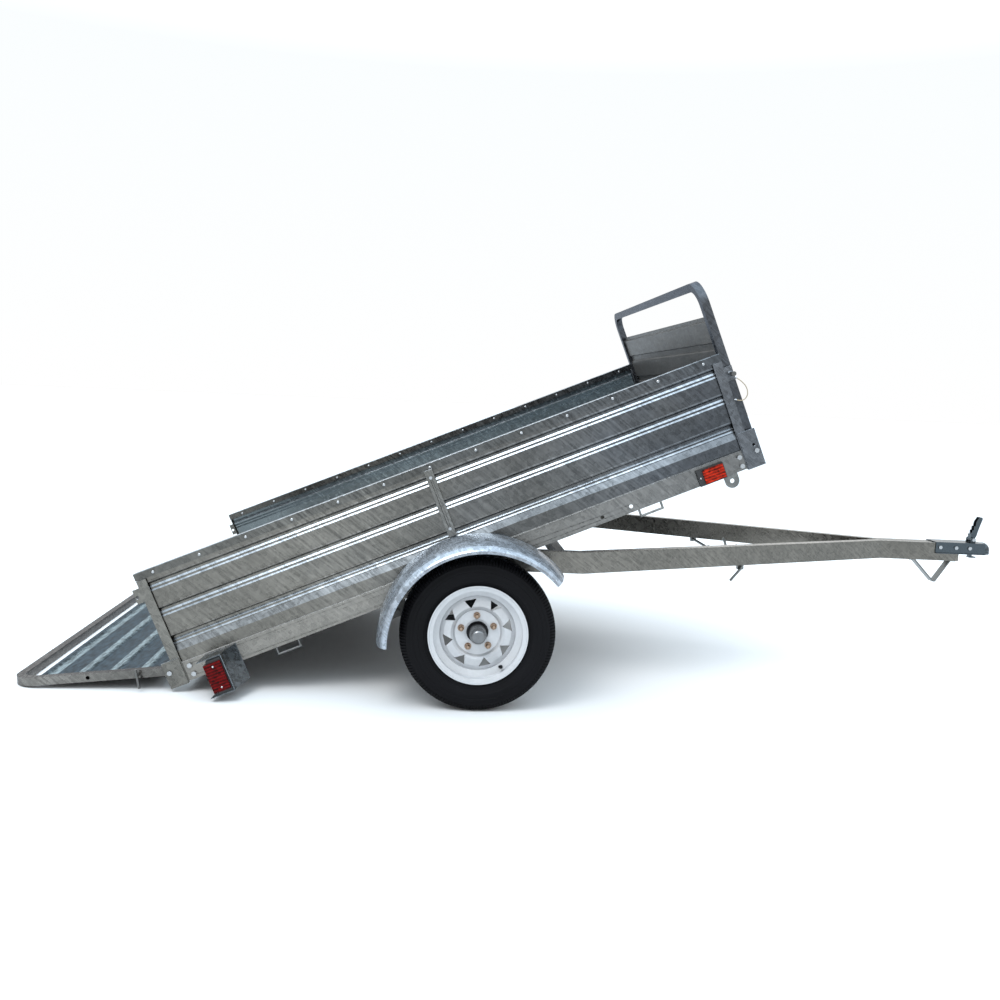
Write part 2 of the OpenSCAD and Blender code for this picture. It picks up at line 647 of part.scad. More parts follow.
module coupler_body() color([0.72, 0.78, 0.84]) in_tongue() difference() {
    union() {
        translate([cp_rear, -cp_hw, cp_top - cp_h]) cube([cp_x - cp_rear - 8, 2 * cp_hw, cp_h]);
        translate([cp_rear + 2, -cp_hw - cp_lip, cp_top - cp_h])
            cube([cp_x - cp_rear - 8, 2 * (cp_hw + cp_lip), plate]);
        translate([ball_x, 0, cp_top - cp_h]) cylinder(r = 34, h = 12);
        translate([ball_x - 40, -34, cp_top - cp_h]) cube([40, 68, cp_h - 4]);
        translate([ball_x, 0, ball_z]) intersection() {
            sphere(34);
            translate([-40, -40, -17]) cube([80, 80, 60]);
        }
        for (y = [-ear_y, ear_y - 6]) translate([lever_x, y, lever_z]) {
            rod_y(10, 6);
            translate([-10, 0, -13]) cube([20, 6, 13]);
        }
    }
    // Channel over the tongue tubes
    translate([cp_rear - 1, -cp_hw + plate, cp_top - cp_h - 1])
        cube([tongue_l + 2 - cp_rear, 2 * (cp_hw - plate), cp_h - plate + 0.5]);
    translate([tongue_l - 5, -cp_hw + 6, cp_top - cp_h - 1])
        cube([ball_x - 26 - tongue_l, 2 * (cp_hw - 6), cp_h - plate + 0.5]);
    translate([ball_x, 0, ball_z]) sphere(socket_r);
    translate([ball_x, 0, cp_top - cp_h - 20]) cylinder(r = socket_r, h = ball_z - cp_top + cp_h + 20);
    // Slot for the clamp's stem
    translate([ball_x - 56, -9, cp_top - 10]) cube([14, 18, 30]);
    translate([lever_x, -40, lever_z]) rod_y(lever_pin_r + 0.1, 80);
    for (x = coupler_bolts_x) translate([x, -cp_hw - 1, coupler_bolt_z]) rod_y(bolt_r + 0.1, 2 * cp_hw + 2);
}

// Side bolts of the coupler, and the pin the lever turns on
module coupler_bolts() color([0.80, 0.82, 0.84]) in_tongue() {
    both_sides() for (x = coupler_bolts_x) translate([x, -cp_hw, coupler_bolt_z])
        bolt_head(r = 8.5, h = 6, shank_r = bolt_r, shank = cp_hw - 1);
    translate([lever_x, -ear_y - 2, lever_z]) rod_y(lever_pin_r, 2 * ear_y + 4);
    for (s = [-1, 1]) translate([lever_x, s * (ear_y + 1.5 + fit) - 1.5, lever_z]) rod_y(7, 3);
}

// Flat bar bent to a V under the coupler: parking foot and chain loop
strap_top = -tongue_h / 2 - fit;
strap_t = 5;
strap_low = -131;

module foot_strap() galv(0.06) in_tongue() along_y(38) polygon([
    [1752, strap_top], [1778, strap_top], [1869, strap_low], [1876, strap_low],
    [1936, strap_top], [1959, strap_top], [1959, strap_top - strap_t], [1938, strap_top - strap_t],
    [1878, strap_low - strap_t], [1866, strap_low - strap_t], [1774, strap_top - strap_t],
    [1752, strap_top - strap_t]
]);

// Saddles that carry the lock bar under both tubes
module lock_brackets() galv(0.06) in_tongue() both_sides() translate([lock_x, -lock_y - 10, 0]) difference() {
    translate([-12, 0, lock_z - 10]) cube([24, 20, 18 - fit]);
    translate([0, -1, lock_z]) rod_y(lock_r + 0.3, 22);
}

// Lock bar with a bent handle and two hooks for the keeper
keeper_r = norm([keeper_u - pivot_u - lock_x, keeper_w - pivot_w - lock_z]);

module lock_bar() galv(0.02) in_tongue() translate([lock_x, 0, lock_z]) {
    translate([0, -lock_y - 30, 0]) rod_y(lock_r, 2 * lock_y + 48);
    rod([0, -lock_y - 23, 0], [-42, -lock_y - 23, -54], lock_r - 1);
    for (y = [-90, 90]) translate([0, y + 3, 0]) rotate([90, 0, 0]) {
        cylinder(r = 13, h = 6);
        rotate([0, 0, 8]) translate([0, -6, 0]) cube([keeper_r + 14, 12, 6]);
        rotate([0, 0, 4]) rotate_extrude(angle = 34) translate([keeper_r + 8, 0]) square([10, 6]);
    }
}

// Over-centre lever, raised: the finger steps are on its rear edge
module coupler_lever() color([0.70, 0.76, 0.82]) in_tongue() translate([lever_x, 0, lever_z]) {
    difference() {
        union() {
            translate([0, -15.6, 0]) rod_y(9, 31.2);
            rotate([0, 14, 0]) along_y(26) polygon([
                [-6, -4], [-14, 22], [-8, 24], [-12, 40], [-6, 42], [-10, 58], [-4, 60], [-7, 78], [0, 102],
                [10, 104], [14, 98], [12, 60], [12, 20], [6, -4]
            ]);
        }
        translate([0, -20, 0]) rod_y(lever_pin_r + 0.08, 40);
        rotate([0, 14, 0]) translate([-20, -9, 28]) cube([26, 18, 90]);
    }
}

// Tongue that closes under the ball, with its stem up through the coupler
module ball_clamp() color([0.66, 0.70, 0.74]) in_tongue() translate([ball_x - 49, 0, 0]) {
    translate([-6.5, -8.5, cp_top - cp_h - 14]) cube([13, 17, cp_h + 6]);
    translate([-6.5, -12, cp_top - cp_h - 19]) cube([29, 24, 5.5]);
}

// ---------- gates ----------

// Outline of a gate's tube: straight legs under a top with round corners
module gate_outline(top, inset, low) {
    hw = gate_hw - inset;
    r = gate_r - inset;
    z1 = top - inset;
    translate([-hw, low]) square([2 * hw, z1 - r - low]);
    translate([-hw + r, low]) square([2 * (hw - r), z1 - low]);
    for (s = [-1, 1]) translate([s * (hw - r), z1 - r]) circle(r = r, $fn = 96);
}

// A gate's hollow tube frame, standing on its hinge line at the origin; a hole is [height, radius]
module gate_frame(top, wall, holes) difference() {
    translate([-gate_t / 2, 0, 0]) along_x(gate_t) difference() {
        gate_outline(top, 0, -gate_tail);
        gate_outline(top, gate_band, -gate_tail - 1);
    }
    translate([-gate_t / 2 + wall, 0, 0]) along_x(gate_t - 2 * wall) difference() {
        gate_outline(top, wall, -gate_tail - 5);
        gate_outline(top, gate_band - wall, -gate_tail - 6);
    }
    for (h = holes) translate([0, -gate_hw - 1, h[0]]) rod_y(h[1], 2 * gate_hw + 2);
}

// Folded top edge, then flats with a pressed rib between them: [depth, height]
function gate_rib(z) = [[0, z - 15], [7, z - 11], [7, z + 11], [0, z + 15]];

module gate_panel(top, ribs, t) {
    path = concat([[0, 26]], [for (z = ribs) each gate_rib(z)], [[0, top - 18], [8, top - 14], [8, top]]);
    along_y(2 * (gate_hw - gate_band) - 1) translate([-4, 0]) sheet_profile(path, t);
}

front_slot = 126;
rear_slot = 86;

front_ribs_top = front_gate_h - front_slot - 107;
latch_hole = [latch_w - gate_w, hinge_r + 0.1];
hinge_hole = [0, hinge_r + 0.1];

module front_gate_frame() galv(0.02) in_front_gate() gate_frame(front_gate_h, 1.6, [hinge_hole, latch_hole]);

module front_gate_panel() galv(0.03) in_front_gate()
    gate_panel(front_gate_h - front_slot, [for (i = [3:-1:0]) front_ribs_top - 103 * i], 1.2);

module rear_gate_frame() galv(0.02) in_rear_gate()
    gate_frame(rear_gate_h, 3.5, [hinge_hole, latch_hole, [park_z, park_r + 0.05]]);

module rear_gate_panel() galv(0.03) in_rear_gate()
    gate_panel(rear_gate_h - rear_slot, [for (i = [1:3]) 106 * i], 2.5);

// Hinge bolts of both gates
module gate_hinge_pins() color([0.76, 0.77, 0.78]) in_bed() both_sides()
    for (u = [rear_gate_u, front_gate_u]) translate([u, -half_w - post_t - plate - fit, gate_w])
        bolt_head(r = 9, h = 7, shank_r = hinge_r, shank = 50);

// Spring pin in the front latch plate, its tip just short of the gate's leg
module front_pin() color([0.75, 0.76, 0.78]) in_bed() translate([front_gate_u, -half_w - 42, latch_w]) {
    rod_y(8, 8);
    translate([0, 4, 0]) rod_y(latch_r, half_w + 42 - gate_hw - 4.6);
}

module front_pin_right() front_pin();

module front_pin_left() mirror([0, 1, 0]) front_pin();

// L-shaped pin parked in the ramp's leg, its long end hanging outside
module parked_pin() color([0.62, 0.63, 0.64]) in_rear_gate()
    translate([0, -gate_hw - park_out, park_z]) {
        rod_y(park_r, park_out + 10);
        rod([22, 0, 2], [-44, 0, -4], park_r - 0.5);
    }

module parked_pin_right() parked_pin();

module parked_pin_left() mirror([0, 1, 0]) parked_pin();

// ---------- nodes ----------

side_rails();
end_crossmembers();
crossmembers();
floor_sheet();
panel_right();
panel_left();
cap_rails();
corner_posts();
stake_posts();
gate_hinge_plates();
frame_bolts();
fender_right();
fender_left();
axle_beam();
springs();
spring_hangers();
u_bolts();
tilt_brackets();
lock_keeper();
lift_lugs();
tie_hooks();
tail_brackets();
tail_housings();
tail_lenses();
marker_housings();
marker_lenses();
pin_lanyard();
tongue_tubes();
tongue_crossbar();
tilt_pivot_pins();
coupler_body();
coupler_bolts();
foot_strap();
lock_brackets();
lock_bar();
coupler_lever();
ball_clamp();
right_wheel() tyre();  // tyre_right
right_wheel() rim();  // rim_right
right_wheel() hub();  // hub_right
right_wheel() lug_nuts();  // lug_nuts_right
right_wheel() valve();  // valve_right
left_wheel() tyre();  // tyre_left
left_wheel() rim();  // rim_left
left_wheel() hub();  // hub_left
left_wheel() lug_nuts();  // lug_nuts_left
left_wheel() valve();  // valve_left
front_gate_frame();
front_gate_panel();
rear_gate_frame();
rear_gate_panel();
gate_hinge_pins();
front_pin_right();
front_pin_left();
parked_pin_right();
parked_pin_left();
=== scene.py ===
import json
import math

import bmesh
import bpy
from mathutils import Matrix, Vector


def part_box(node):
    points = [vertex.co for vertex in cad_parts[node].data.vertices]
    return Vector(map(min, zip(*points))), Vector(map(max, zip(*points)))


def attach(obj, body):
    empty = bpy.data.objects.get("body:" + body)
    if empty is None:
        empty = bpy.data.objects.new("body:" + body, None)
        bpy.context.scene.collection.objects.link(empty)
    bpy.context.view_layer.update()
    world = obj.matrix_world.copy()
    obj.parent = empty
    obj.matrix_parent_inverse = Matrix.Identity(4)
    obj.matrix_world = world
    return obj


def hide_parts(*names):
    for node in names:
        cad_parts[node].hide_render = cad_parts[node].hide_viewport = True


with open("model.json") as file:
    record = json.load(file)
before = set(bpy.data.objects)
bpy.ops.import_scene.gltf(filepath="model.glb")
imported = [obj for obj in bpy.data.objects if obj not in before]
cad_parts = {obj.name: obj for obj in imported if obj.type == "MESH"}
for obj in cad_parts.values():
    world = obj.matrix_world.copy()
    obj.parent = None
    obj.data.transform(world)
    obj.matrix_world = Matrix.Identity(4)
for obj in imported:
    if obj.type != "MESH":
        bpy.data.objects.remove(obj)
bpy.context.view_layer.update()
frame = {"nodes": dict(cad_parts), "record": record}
record = frame["record"]
NODES = frame["nodes"]

# ---------------------------------------------------------------- camera, light, floor

CAMERA_AT = Vector((-0.520, -4.018, 1.0661))
YAW, PITCH, ROLL = 0.0718, -0.1137, 0.0416
LENS = 34.69


def make_camera():
    """The photograph's viewpoint: from the cart's right, a little above the bed."""
    forward = Vector((math.sin(YAW) * math.cos(PITCH), math.cos(YAW) * math.cos(PITCH), math.sin(PITCH)))
    right = Vector((math.cos(YAW), -math.sin(YAW), 0.0))
    up = right.cross(forward)
    level_right = math.cos(ROLL) * right + math.sin(ROLL) * up
    level_up = math.cos(ROLL) * up - math.sin(ROLL) * right
    camera = bpy.data.objects.new("camera", bpy.data.cameras.new("camera"))
    camera.data.lens = LENS
    camera.data.sensor_width = 36.0
    axes = Matrix((level_right, level_up, -forward)).transposed()
    camera.matrix_world = Matrix.Translation(CAMERA_AT) @ axes.to_4x4()
    bpy.context.scene.collection.objects.link(camera)
    bpy.context.scene.camera = camera


class Shader:
    """A node tree that is built one node at a time."""

    def __init__(self, tree):
        self.tree = tree

    def node(self, kind, inputs=None, **settings):
        n = self.tree.nodes.new(kind)
        for key, value in settings.items():
            setattr(n, key, value)
        for key, value in (inputs or {}).items():
            if isinstance(value, bpy.types.NodeSocket):
                self.tree.links.new(value, n.inputs[key])
            else:
                n.inputs[key].default_value = value
        return n

    def maths(self, operation, a, b=0.0, c=0.0):
        return self.node("ShaderNodeMath", {0: a, 1: b, 2: c}, operation=operation).outputs[0]

    def ramp(self, value, stops, interpolation="LINEAR"):
        n = self.node("ShaderNodeValToRGB", {"Fac": value})
        n.color_ramp.interpolation = interpolation
        while len(n.color_ramp.elements) < len(stops):
            n.color_ramp.elements.new(0.5)
        for element, (place, colour) in zip(n.color_ramp.elements, stops):
            element.position = place
            element.color = (*colour, 1.0)
        return n.outputs["Color"]

    def coords(self, rotation=(0, 0, 0), scale=(1, 1, 1)):
        """Object coordinates, turned and then stretched, so that a stretched texture leans."""
        source = self.node("ShaderNodeTexCoord").outputs["Object"]
        turned = self.node("ShaderNodeMapping", {"Vector": source, "Rotation": rotation}).outputs[0]
        return self.node("ShaderNodeMapping", {"Vector": turned, "Scale": scale}).outputs[0]

    def noise(self, vector, scale, detail=3.0, rough=0.55):
        inputs = {"Vector": vector, "Scale": scale, "Detail": detail, "Roughness": rough}
        return self.node("ShaderNodeTexNoise", inputs).outputs["Fac"]

    def cells(self, vector, scale):
        n = self.node("ShaderNodeTexVoronoi", {"Vector": vector, "Scale": scale})
        return self.node("ShaderNodeSeparateColor", {"Color": n.outputs["Color"]}).outputs[0]

    def swing(self, base, *parts):
        """base plus amount x (value - 0.5) for each (value, amount)."""
        total = base
        for value, amount in parts:
            centred = self.maths("SUBTRACT", value, 0.5)
            total = self.maths("MULTIPLY_ADD", centred, amount, total)
        return total

    def tinted(self, colour, value):
        return self.node("ShaderNodeHueSaturation", {"Color": (*colour, 1.0), "Value": value}).outputs[0]

    def bump(self, height, distance, strength=1.0, normal=None):
        inputs = {"Height": height, "Distance": distance, "Strength": strength}
        if normal is not None:
            inputs["Normal"] = normal
        return self.node("ShaderNodeBump", inputs).outputs[0]


def material(name, build, **constants):
    """A Principled material: constants go on its own sockets, and build links the textured ones."""
    m = bpy.data.materials.new(name)
    m.use_nodes = True
    principled = m.node_tree.nodes["Principled BSDF"]
    for key, value in constants.items():
        principled.inputs[key.replace("_", " ")].default_value = value
    for key, socket in build(Shader(m.node_tree)).items():
        m.node_tree.links.new(socket, principled.inputs[key])
    return m


def make_studio():
    """A pale floor under a soft sky that is brightest overhead, and one large soft key."""
    world = bpy.data.worlds.new("studio")
    bpy.context.scene.world = world
    world.use_nodes = True
    sky = Shader(world.node_tree)
    direction = sky.node("ShaderNodeTexCoord").outputs["Generated"]
    height = sky.node("ShaderNodeSeparateXYZ", {"Vector": direction}).outputs["Z"]
    colour = sky.ramp(height, [(0.0, (1.0, 1.0, 1.0)), (0.30, (0.96, 0.99, 1.0)), (0.62, (0.80, 0.91, 1.0)),
                               (1.0, (0.74, 0.88, 1.0))])
    strength = sky.node("ShaderNodeMapRange", {"Value": height, "From Min": 0.30, "From Max": 0.80,
                                               "To Min": 1.0, "To Max": 3.0}).outputs[0]
    background = world.node_tree.nodes["Background"]
    world.node_tree.links.new(colour, background.inputs["Color"])
    world.node_tree.links.new(strength, background.inputs["Strength"])

    for name, place, aim, size, power in (
        ("key", (-2.2, -3.4, 4.6), (0.0, 0.0, 0.4), 2.2, 180.0),
        ("rim", (2.6, 3.6, 4.2), (0.2, 0.0, 0.6), 2.6, 120.0),
    ):
        lamp = bpy.data.objects.new(name, bpy.data.lights.new(name, "AREA"))
        lamp.data.size = size
        lamp.data.energy = power
        lamp.location = place
        lamp.rotation_euler = (Vector(aim) - Vector(place)).to_track_quat("-Z", "Y").to_euler()
        bpy.context.scene.collection.objects.link(lamp)

    bpy.ops.mesh.primitive_plane_add(size=120.0, location=(0, 0, -0.0008))
    floor = bpy.context.object
    floor.name = "floor"

    def floor_paint(s):
        mottle = s.noise(s.coords(), 1.3)
        return {"Base Color": s.tinted((0.60, 0.60, 0.60), s.swing(1.0, (mottle, 0.03)))}

    floor.data.materials.append(material("floor_paint", floor_paint, Roughness=0.9))
    bpy.context.scene.view_settings.view_transform = "Standard"


# ---------------------------------------------------------------- places

MM = 0.001
TILT = math.radians(22.8)
JOINTS = {j["name"]: j for j in record["behaviour"]["joints"]}
AXLE = Vector(JOINTS["wheel_spin_right"]["pos_m"])
RAMP_HINGE = Vector(JOINTS["ramp_gate_fold"]["pos_m"])
RAMP_TIP = Vector((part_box("rear_gate_frame")[0].x, 0.0, RAMP_HINGE.z / 6))
# The ramp's pressed ribs: pitch, and the half widths of each at its foot and its top, in metres
RIB_PITCH = 0.106
RIB_FOOT = 0.017
RIB_TOP = 0.011


def in_bed(u, y, w):
    """A point of the tilted bed, in mm along it, across it and above the axle, as a point of the frame."""
    x = u * math.cos(TILT) - w * math.sin(TILT)
    z = u * math.sin(TILT) + w * math.cos(TILT)
    return Vector((AXLE.x + MM * x, MM * y, AXLE.z + MM * z))


# ---------------------------------------------------------------- materials

BED_UP = Vector((-math.sin(TILT), 0.0, math.cos(TILT)))
# Colour of the painted highlight on bends that face up out of the bed
HIGHLIGHT_ZINC = (0.34, 0.375, 0.41, 1.0)


def galvanized(name, colour, ahead=None, rough=0.30, streak=0.5, spangle=0.22, cloud=0.3, lean=-0.66,
               wide=1.0, top_highlight=0.0, metal=1.0, **shell):
    """Hot-dip zinc: spangle, clouded patina, and thin slanting run marks. The tone goes from colour
    at the cart's rear to ahead at its front, and bends that face the bed's top get a painted highlight:
    their colour is pushed toward a brighter, bluer zinc where they would catch the overhead sky."""

    def build(s):
        place = s.coords()
        spangles = s.cells(place, 75.0)
        clouds = s.noise(place, 3.2, 4.0)
        grain = s.noise(place, 160.0, 2.0)
        across = s.coords(rotation=(0, lean, 0), scale=(8.0 * wide, 14.0, 120.0 * wide))
        streaks = s.ramp(s.noise(across, 1.0, 6.0, 0.68), [(0.40, (0, 0, 0)), (0.60, (1, 1, 1))])
        scratches = s.ramp(s.noise(s.coords(rotation=(0, lean, 0), scale=(26.0, 30.0, 420.0)), 1.0, 3.0),
                           [(0.60, (0, 0, 0)), (0.68, (1, 1, 1))])
        patches = s.ramp(s.noise(place, 1.7, 3.0), [(0.36, (0, 0, 0)), (0.60, (1, 1, 1))])
        runs = s.maths("MULTIPLY", streaks, patches)
        worn = s.maths("MULTIPLY_ADD", runs, streak, 1.0 - 0.4 * streak)
        value = s.swing(worn, (spangles, spangle), (clouds, cloud), (grain, 0.2),
                        (s.maths("MULTIPLY", scratches, patches), 0.9 * streak))
        along = s.node("ShaderNodeSeparateXYZ", {"Vector": place}).outputs["X"]
        drift = s.swing(along, (clouds, 0.9))
        front = s.node("ShaderNodeMapRange", {"Value": drift, "From Min": -0.9, "From Max": 0.35}).outputs[0]
        tones = {"Factor": front, "A": (*colour, 1.0), "B": (*(ahead or colour), 1.0)}
        base = s.node("ShaderNodeMix", tones, data_type="RGBA")
        normal = s.node("ShaderNodeTexCoord").outputs["Normal"]
        upward = s.node("ShaderNodeVectorMath", {0: normal, 1: BED_UP}, operation="DOT_PRODUCT")
        facing = upward.outputs["Value"]
        # Painted highlight: faces turned up out of the bed are mixed toward a brighter zinc
        painted_highlight = s.node("ShaderNodeMapRange", {"Value": facing, "From Min": 0.20, "From Max": 0.42,
                                                 "To Max": top_highlight}).outputs[0]
        zinc = s.node("ShaderNodeMix", {"Factor": painted_highlight, "A": base.outputs["Result"], "B": HIGHLIGHT_ZINC},
                      data_type="RGBA").outputs["Result"]
        toned = s.node("ShaderNodeHueSaturation", {"Color": zinc, "Value": value}).outputs[0]
        rough_map = s.swing(rough, (spangles, 0.10), (clouds, 0.12), (grain, 0.08), (streaks, 0.06))
        height = s.swing(0.5, (grain, 0.5), (streaks, 0.35))
        return {"Base Color": toned, "Roughness": rough_map, "Normal": s.bump(height, 0.0006, 0.3)}

    return material(name, build, Metallic=metal, **shell)


def ramp_sheet(name, field, rib):
    """The ramp's zinc: close slanting brush marks, and flatter, lighter tops on the pressed ribs."""

    def build(s):
        slope = math.atan2(RAMP_TIP.z - RAMP_HINGE.z, RAMP_HINGE.x - RAMP_TIP.x)
        turned = s.node("ShaderNodeVectorRotate", {"Vector": s.coords(), "Center": RAMP_HINGE,
                                                   "Axis": (0, 1, 0), "Angle": -slope})
        shift = s.node("ShaderNodeVectorMath", {0: turned.outputs[0], 1: RAMP_HINGE}, operation="SUBTRACT")
        run = s.node("ShaderNodeSeparateXYZ", {"Vector": shift.outputs[0]}).outputs["X"]
        wave = s.maths("PINGPONG", s.maths("ADD", run, RIB_PITCH * 10), RIB_PITCH / 2)
        on_rib = s.node("ShaderNodeMapRange", {"Value": wave, "From Min": RIB_FOOT, "From Max": RIB_TOP})
        marks = s.noise(s.coords(rotation=(0, 0, 0.16), scale=(150.0, 22.0, 20.0)), 1.0, 4.0, 0.7)
        strokes = s.ramp(marks, [(0.42, (0, 0, 0)), (0.58, (1, 1, 1))])
        grain = s.noise(s.coords(), 220.0, 2.0)
        value = s.swing(1.0, (strokes, 0.95), (grain, 0.3), (s.noise(s.coords(), 4.0), 0.4))
        tones = {"Factor": on_rib.outputs[0], "A": (*field, 1.0), "B": (*rib, 1.0)}
        base = s.node("ShaderNodeMix", tones, data_type="RGBA").outputs["Result"]
        toned = s.node("ShaderNodeHueSaturation", {"Color": base, "Value": value}).outputs[0]
        return {"Base Color": toned, "Roughness": s.swing(0.46, (strokes, 0.16), (grain, 0.08)),
                "Normal": s.bump(s.swing(0.5, (strokes, 0.6), (grain, 0.4)), 0.0006, 0.4)}

    return material(name, build, Metallic=0.0, Specular_IOR_Level=0.02)


def make_materials():
    def rubber(s):
        dust = s.ramp(s.noise(s.coords(), 9.0, 4.0), [(0.35, (0, 0, 0)), (0.75, (1, 1, 1))])
        grain = s.noise(s.coords(), 420.0, 2.0)
        return {"Base Color": s.tinted((0.0026, 0.0026, 0.0034), s.swing(1.0, (dust, 0.6), (grain, 0.3))),
                "Roughness": s.swing(0.56, (dust, 0.14)), "Normal": s.bump(grain, 0.0004, 0.4)}

    def paint(s):
        peel = s.noise(s.coords(), 240.0, 2.0)
        dirt = s.noise(s.coords(), 14.0, 4.0)
        speckle = s.noise(s.coords(), 95.0, 4.0, 0.7)
        return {"Base Color": s.tinted((0.44, 0.45, 0.465), s.swing(1.0, (dirt, 0.22), (speckle, 0.22))),
                "Roughness": s.swing(0.34, (dirt, 0.12), (speckle, 0.1)),
                "Normal": s.bump(peel, 0.0003, 0.2)}

    def plated(colour, rough):
        def build(s):
            smear = s.noise(s.coords(), 38.0, 4.0)
            fine = s.noise(s.coords(), 500.0, 2.0)
            return {"Base Color": s.tinted(colour, s.swing(1.0, (smear, 0.35), (fine, 0.1))),
                    "Roughness": s.swing(rough, (smear, 0.2)), "Normal": s.bump(fine, 0.0002, 0.3)}
        return build

    def hub_metal(s):
        """Zinc outside the wheel's disc, and near-black at its root by the disc: painted shade in that
        recess, together with dark grease and road dirt.
        """
        out = s.node("ShaderNodeSeparateXYZ", {"Vector": s.coords()}).outputs["Y"]
        reach = s.maths("SUBTRACT", s.maths("ABSOLUTE", out), abs(AXLE.y))
        span = {"Value": reach, "From Min": 0.004, "From Max": 0.022}
        # Painted shade with grease: the hub goes near-black within a few millimetres of the disc
        clear_of_shade_and_grease = s.node("ShaderNodeMapRange", span).outputs[0]
        smear = s.noise(s.coords(), 60.0, 4.0)
        tones = {"Factor": clear_of_shade_and_grease, "A": (0.012, 0.012, 0.013, 1), "B": (0.16, 0.165, 0.17, 1)}
        colour = s.node("ShaderNodeMix", tones, data_type="RGBA").outputs["Result"]
        value = s.swing(1.0, (smear, 0.5))
        toned = s.node("ShaderNodeHueSaturation", {"Color": colour, "Value": value}).outputs[0]
        return {"Base Color": toned,
                "Roughness": s.swing(0.36, (smear, 0.2)), "Normal": s.bump(smear, 0.0004, 0.3)}

    def lens(colour):
        def build(s):
            mottle = s.noise(s.coords(), 60.0, 3.0)
            ribs = s.node("ShaderNodeTexWave", {"Vector": s.coords(rotation=(0, TILT, 0)), "Scale": 32.0},
                          bands_direction="Z").outputs["Fac"]
            prisms = s.cells(s.coords(rotation=(0, TILT, 0)), 110.0)
            return {"Base Color": s.tinted(colour, s.swing(0.9, (mottle, 0.6), (ribs, 0.9), (prisms, 0.9))),
                    "Roughness": s.swing(0.24, (mottle, 0.08)), "Normal": s.bump(ribs, 0.0012, 0.7)}
        return build

    def moulded(s):
        grain = s.noise(s.coords(), 650.0, 2.0)
        scuff = s.noise(s.coords(), 24.0, 4.0)
        return {"Base Color": s.tinted((0.012, 0.012, 0.013), s.swing(1.0, (scuff, 0.8))),
                "Roughness": s.swing(0.5, (scuff, 0.2)), "Normal": s.bump(grain, 0.0003, 0.5)}

    return {
        # Several zincs below are given the strength of their painted highlight on up-facing bends
        "panel": galvanized("galvanized_panel", (0.195, 0.186, 0.167), (0.105, 0.112, 0.122), streak=0.42,
                            top_highlight=1.0),
        "cap": galvanized("galvanized_cap", (0.15, 0.147, 0.136), (0.105, 0.113, 0.122), streak=0.5,
                          top_highlight=1.0),
        "inner": galvanized("galvanized_inner", (0.20, 0.235, 0.245), (0.14, 0.18, 0.20), streak=0.3,
                            rough=0.24, top_highlight=1.0, metal=0.5),
        "gate": galvanized("galvanized_gate", (0.085, 0.082, 0.078), streak=0.5, lean=1.3, metal=0.25,
                           rough=0.45, Specular_IOR_Level=0.25),
        "rail": galvanized("galvanized_rail", (0.255, 0.242, 0.220), (0.195, 0.193, 0.188), streak=0.3,
                           top_highlight=0.25),
        "tongue": galvanized("galvanized_tongue", (0.185, 0.176, 0.158), (0.185, 0.174, 0.155), streak=0.35,
                             wide=2.0),
        "post": galvanized("galvanized_post", (0.23, 0.222, 0.20), (0.165, 0.175, 0.19), streak=0.5,
                           wide=2.0, top_highlight=0.8, metal=0.85),
        "loop": galvanized("galvanized_loop", (0.21, 0.20, 0.185), (0.10, 0.108, 0.12), streak=0.5,
                           rough=0.24, metal=0.9, Specular_Tint=(0.5, 0.5, 0.52, 1.0)),
        "frame": galvanized("galvanized_frame", (0.20, 0.205, 0.20), streak=0.3, rough=0.36, wide=2.0),
        "tail": galvanized("galvanized_tail", (0.20, 0.225, 0.245), streak=0.4, rough=0.28, top_highlight=0.6,
                           wide=2.0),
        "fender": galvanized("galvanized_fender", (0.315, 0.35, 0.395), rough=0.27, streak=0.25, spangle=0.4,
                             cloud=0.25, wide=1.6, metal=0.7),
        "deck": galvanized("galvanized_deck", (0.24, 0.262, 0.285), rough=0.36, streak=0.9, lean=2.2),
        "ramp": ramp_sheet("galvanized_ramp", (0.030, 0.039, 0.046), (0.120, 0.142, 0.148)),
        # Crossmembers, axle, spring hangers and tilt brackets get a darker zinc: painted shade under the bed
        "under": galvanized("galvanized_shaded_underside", (0.13, 0.126, 0.118), rough=0.5, streak=0.3),
        "zinc": material("zinc_plate", plated((0.40, 0.41, 0.42), 0.28), Metallic=1.0),
        "pin": material("pin_steel", plated((0.13, 0.13, 0.125), 0.36), Metallic=1.0),
        "hub": material("hub_zinc", hub_metal, Metallic=0.8),
        "coupler": material("coupler_zinc", plated((0.070, 0.083, 0.092), 0.26), Metallic=1.0),
        "spring": material("spring_steel", plated((0.10, 0.10, 0.105), 0.45), Metallic=1.0),
        "lug": material("lug_bronze", plated((0.30, 0.215, 0.155), 0.30), Metallic=1.0),
        "cable": material("cable_steel", plated((0.30, 0.25, 0.17), 0.45), Metallic=0.5),
        "tyre": material("tyre_rubber", rubber, Specular_IOR_Level=0.10),
        "rim": material("rim_silver", paint, Metallic=0.3, Coat_Weight=0.2, Coat_Roughness=0.2),
        "lamp": material("lamp_black", moulded),
        "red": material("lens_red", lens((0.070, 0.0008, 0.0010)), Specular_IOR_Level=0.10),
        "amber": material("lens_amber", lens((0.235, 0.011, 0.003)), Specular_IOR_Level=0.10),
    }


